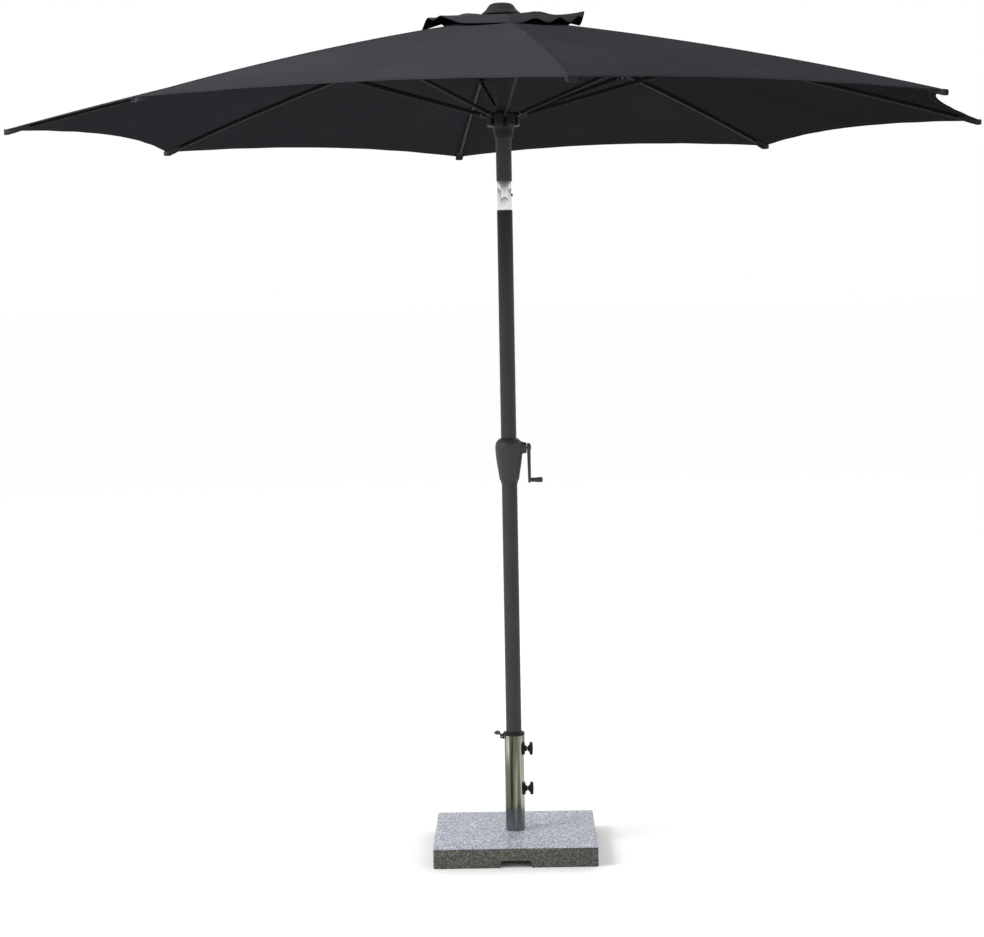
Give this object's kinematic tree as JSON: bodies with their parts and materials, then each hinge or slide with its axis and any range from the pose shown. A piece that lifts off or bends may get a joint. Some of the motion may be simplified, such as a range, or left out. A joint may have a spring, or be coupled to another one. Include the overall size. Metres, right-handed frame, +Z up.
{
  "type": "patio umbrella with base",
  "caption": "Round patio umbrella with a vented dark canopy on folding ribs, a crank-lifted runner, a tilting pole, and a square granite base with a clamped tube.",
  "frame": {"origin": "on the ground under the middle of the base, on the pole's axis", "axes": "+Z up along the pole; the base's front edge faces -Y; the crank, clamp knobs and tilt button are on the +X side"},
  "size_m": [2.9814, 2.9814, 2.618],
  "materials": {
    "granite": "Flamed grey granite with fine light and dark grains; sides darker.",
    "stainless": "Polished stainless tube with soft long reflections.",
    "steel": "Plain zinc-plated steel.",
    "black_plastic": "Black moulded plastic with a fine grain.",
    "pole_paint": "Charcoal powder coat, satin.",
    "housing_plastic": "Charcoal moulded plastic, satin.",
    "silver": "Bright turned aluminium.",
    "rib_paint": "Black powder-coated aluminium, matt.",
    "canopy_cloth": "Dark grey woven polyester, matt."
  },
  "bodies": {
    "base": {"granite_slab": "granite", "base_bolt": "steel", "base_tube": "stainless", "tube_plug": "steel", "tube_collar": "black_plastic", "knob_pad_lower": "black_plastic", "knob_pad_upper": "black_plastic"},
    "collar_lever": {"collar_lever": "black_plastic"},
    "lower_knob": {"clamp_knob_lower": "black_plastic"},
    "upper_knob": {"clamp_knob_upper": "black_plastic"},
    "lower_post": {"lower_pole": "pole_paint", "middle_pole": "pole_paint", "crank_housing_front": "housing_plastic", "crank_housing_back": "housing_plastic", "tilt_socket": "silver", "tilt_pin": "steel"},
    "crank": {"crank_arm": "housing_plastic", "winding_spool": "steel"},
    "grip": {"crank_grip": "housing_plastic"},
    "tilt_button": {"tilt_button": "black_plastic"},
    "upper_post": {"tilt_knuckle": "silver", "upper_pole": "pole_paint", "crown": "black_plastic", "crown_ring": "steel", "finial": "black_plastic", "vent_cap": "canopy_cloth"},
    "pulley": {"crown_pulley": "black_plastic"},
    "runner": {"runner": "black_plastic"},
    "rib_1": {"rib_1": "rib_paint", "rib_bracket_1": "black_plastic", "canopy_panel_1": "canopy_cloth"},
    "strut_1": {"strut_1": "rib_paint"},
    "rib_2": {"rib_2": "rib_paint", "rib_bracket_2": "black_plastic", "canopy_panel_2": "canopy_cloth"},
    "strut_2": {"strut_2": "rib_paint"},
    "rib_3": {"rib_3": "rib_paint", "rib_bracket_3": "black_plastic", "canopy_panel_3": "canopy_cloth"},
    "strut_3": {"strut_3": "rib_paint"},
    "rib_4": {"rib_4": "rib_paint", "rib_bracket_4": "black_plastic", "canopy_panel_4": "canopy_cloth"},
    "strut_4": {"strut_4": "rib_paint"},
    "rib_5": {"rib_5": "rib_paint", "rib_bracket_5": "black_plastic", "canopy_panel_5": "canopy_cloth"},
    "strut_5": {"strut_5": "rib_paint"},
    "rib_6": {"rib_6": "rib_paint", "rib_bracket_6": "black_plastic", "canopy_panel_6": "canopy_cloth"},
    "strut_6": {"strut_6": "rib_paint"},
    "rib_7": {"rib_7": "rib_paint", "rib_bracket_7": "black_plastic", "canopy_panel_7": "canopy_cloth"},
    "strut_7": {"strut_7": "rib_paint"},
    "rib_8": {"rib_8": "rib_paint", "rib_bracket_8": "black_plastic", "canopy_panel_8": "canopy_cloth"},
    "strut_8": {"strut_8": "rib_paint"}
  },
  "joints": [
    {"name": "pole_lift", "type": "slide", "parent": "base", "child": "lower_post", "axis": [0, 0, 1], "range_m": [0, 0.3]},
    {"name": "collar_lever_hinge", "type": "hinge", "parent": "base", "child": "collar_lever", "pos_m": [-0.0375, 0, 0.356], "axis": [0, 1, 0], "range_deg": [-60, 0]},
    {"name": "lower_knob_turn", "type": "hinge", "parent": "base", "child": "lower_knob", "pos_m": [0, 0, 0.19], "axis": [1, 0, 0], "continuous": true},
    {"name": "upper_knob_turn", "type": "hinge", "parent": "base", "child": "upper_knob", "pos_m": [0, 0, 0.316], "axis": [1, 0, 0], "continuous": true},
    {"name": "crank_turn", "type": "hinge", "parent": "lower_post", "child": "crank", "pos_m": [0, 0, 1.258], "axis": [1, 0, 0], "range_deg": [-5041, 0]},
    {"name": "grip_turn", "type": "hinge", "parent": "crank", "child": "grip", "pos_m": [0, 0, 1.158], "axis": [1, 0, 0], "continuous": true},
    {"name": "canopy_tilt", "type": "hinge", "parent": "lower_post", "child": "upper_post", "pos_m": [0, 0, 2.036], "axis": [1, 0, 0], "range_deg": [0, 30]},
    {"name": "tilt_button_press", "type": "slide", "parent": "lower_post", "child": "tilt_button", "axis": [1, 0, 0], "range_m": [-0.0025, 0], "stiffness_N_per_m": 600},
    {"name": "runner_slide", "type": "slide", "parent": "upper_post", "child": "runner", "axis": [0, 0, 1], "range_m": [-0.90413, 0], "deforming": ["canopy_panel_1", "canopy_panel_2", "canopy_panel_3", "canopy_panel_4", "canopy_panel_5", "canopy_panel_6", "canopy_panel_7", "canopy_panel_8", "vent_cap"]},
    {"name": "pulley_turn", "type": "hinge", "parent": "upper_post", "child": "pulley", "pos_m": [0, 0, 2.528], "axis": [1, 0, 0], "range_deg": [-4506, 0]},
    {"name": "rib_1_hinge", "type": "hinge", "parent": "upper_post", "child": "rib_1", "pos_m": [0.00453, -0.03974, 2.558], "axis": [0.9936, 0.1132, 0], "range_deg": [0, 73.93]},
    {"name": "strut_1_hinge", "type": "hinge", "parent": "rib_1", "child": "strut_1", "pos_m": [0.07019, -0.61601, 2.43391], "axis": [0.9936, 0.1132, 0], "range_deg": [-144.99, 0]},
    {"name": "rib_2_hinge", "type": "hinge", "parent": "upper_post", "child": "rib_2", "pos_m": [0.0313, -0.0249, 2.558], "axis": [0.6225, 0.7826, 0], "range_deg": [0, 73.93]},
    {"name": "strut_2_hinge", "type": "hinge", "parent": "rib_2", "child": "strut_2", "pos_m": [0.48522, -0.38596, 2.43391], "axis": [0.6225, 0.7826, 0], "range_deg": [-144.99, 0]},
    {"name": "rib_3_hinge", "type": "hinge", "parent": "upper_post", "child": "rib_3", "pos_m": [0.03974, 0.00453, 2.558], "axis": [-0.1132, 0.9936, 0], "range_deg": [0, 73.93]},
    {"name": "strut_3_hinge", "type": "hinge", "parent": "rib_3", "child": "strut_3", "pos_m": [0.61601, 0.07019, 2.43391], "axis": [-0.1132, 0.9936, 0], "range_deg": [-144.99, 0]},
    {"name": "rib_4_hinge", "type": "hinge", "parent": "upper_post", "child": "rib_4", "pos_m": [0.0249, 0.0313, 2.558], "axis": [-0.7826, 0.6225, 0], "range_deg": [0, 73.93]},
    {"name": "strut_4_hinge", "type": "hinge", "parent": "rib_4", "child": "strut_4", "pos_m": [0.38596, 0.48522, 2.43391], "axis": [-0.7826, 0.6225, 0], "range_deg": [-144.99, 0]},
    {"name": "rib_5_hinge", "type": "hinge", "parent": "upper_post", "child": "rib_5", "pos_m": [-0.00453, 0.03974, 2.558], "axis": [-0.9936, -0.1132, 0], "range_deg": [0, 73.93]},
    {"name": "strut_5_hinge", "type": "hinge", "parent": "rib_5", "child": "strut_5", "pos_m": [-0.07019, 0.61601, 2.43391], "axis": [-0.9936, -0.1132, 0], "range_deg": [-144.99, 0]},
    {"name": "rib_6_hinge", "type": "hinge", "parent": "upper_post", "child": "rib_6", "pos_m": [-0.0313, 0.0249, 2.558], "axis": [-0.6225, -0.7826, 0], "range_deg": [0, 73.93]},
    {"name": "strut_6_hinge", "type": "hinge", "parent": "rib_6", "child": "strut_6", "pos_m": [-0.48522, 0.38596, 2.43391], "axis": [-0.6225, -0.7826, 0], "range_deg": [-144.99, 0]},
    {"name": "rib_7_hinge", "type": "hinge", "parent": "upper_post", "child": "rib_7", "pos_m": [-0.03974, -0.00453, 2.558], "axis": [0.1132, -0.9936, 0], "range_deg": [0, 73.93]},
    {"name": "strut_7_hinge", "type": "hinge", "parent": "rib_7", "child": "strut_7", "pos_m": [-0.61601, -0.07019, 2.43391], "axis": [0.1132, -0.9936, 0], "range_deg": [-144.99, 0]},
    {"name": "rib_8_hinge", "type": "hinge", "parent": "upper_post", "child": "rib_8", "pos_m": [-0.0249, -0.0313, 2.558], "axis": [0.7826, -0.6225, 0], "range_deg": [0, 73.93]},
    {"name": "strut_8_hinge", "type": "hinge", "parent": "rib_8", "child": "strut_8", "pos_m": [-0.38596, -0.48522, 2.43391], "axis": [0.7826, -0.6225, 0], "range_deg": [-144.99, 0]}
  ],
  "couplings": [
    {"joint": "crank_turn", "follows": "runner_slide", "rad_per_m": 97.292},
    {"joint": "pulley_turn", "follows": "runner_slide", "rad_per_m": 86.957},
    {"joint": "rib_1_hinge", "follows": "runner_slide", "rad_per_m": -1.427},
    {"joint": "strut_1_hinge", "follows": "runner_slide", "rad_per_m": 2.7987},
    {"joint": "rib_2_hinge", "follows": "runner_slide", "rad_per_m": -1.427},
    {"joint": "strut_2_hinge", "follows": "runner_slide", "rad_per_m": 2.7987},
    {"joint": "rib_3_hinge", "follows": "runner_slide", "rad_per_m": -1.427},
    {"joint": "strut_3_hinge", "follows": "runner_slide", "rad_per_m": 2.7987},
    {"joint": "rib_4_hinge", "follows": "runner_slide", "rad_per_m": -1.427},
    {"joint": "strut_4_hinge", "follows": "runner_slide", "rad_per_m": 2.7987},
    {"joint": "rib_5_hinge", "follows": "runner_slide", "rad_per_m": -1.427},
    {"joint": "strut_5_hinge", "follows": "runner_slide", "rad_per_m": 2.7987},
    {"joint": "rib_6_hinge", "follows": "runner_slide", "rad_per_m": -1.427},
    {"joint": "strut_6_hinge", "follows": "runner_slide", "rad_per_m": 2.7987},
    {"joint": "rib_7_hinge", "follows": "runner_slide", "rad_per_m": -1.427},
    {"joint": "strut_7_hinge", "follows": "runner_slide", "rad_per_m": 2.7987},
    {"joint": "rib_8_hinge", "follows": "runner_slide", "rad_per_m": -1.427},
    {"joint": "strut_8_hinge", "follows": "runner_slide", "rad_per_m": 2.7987}
  ]
}
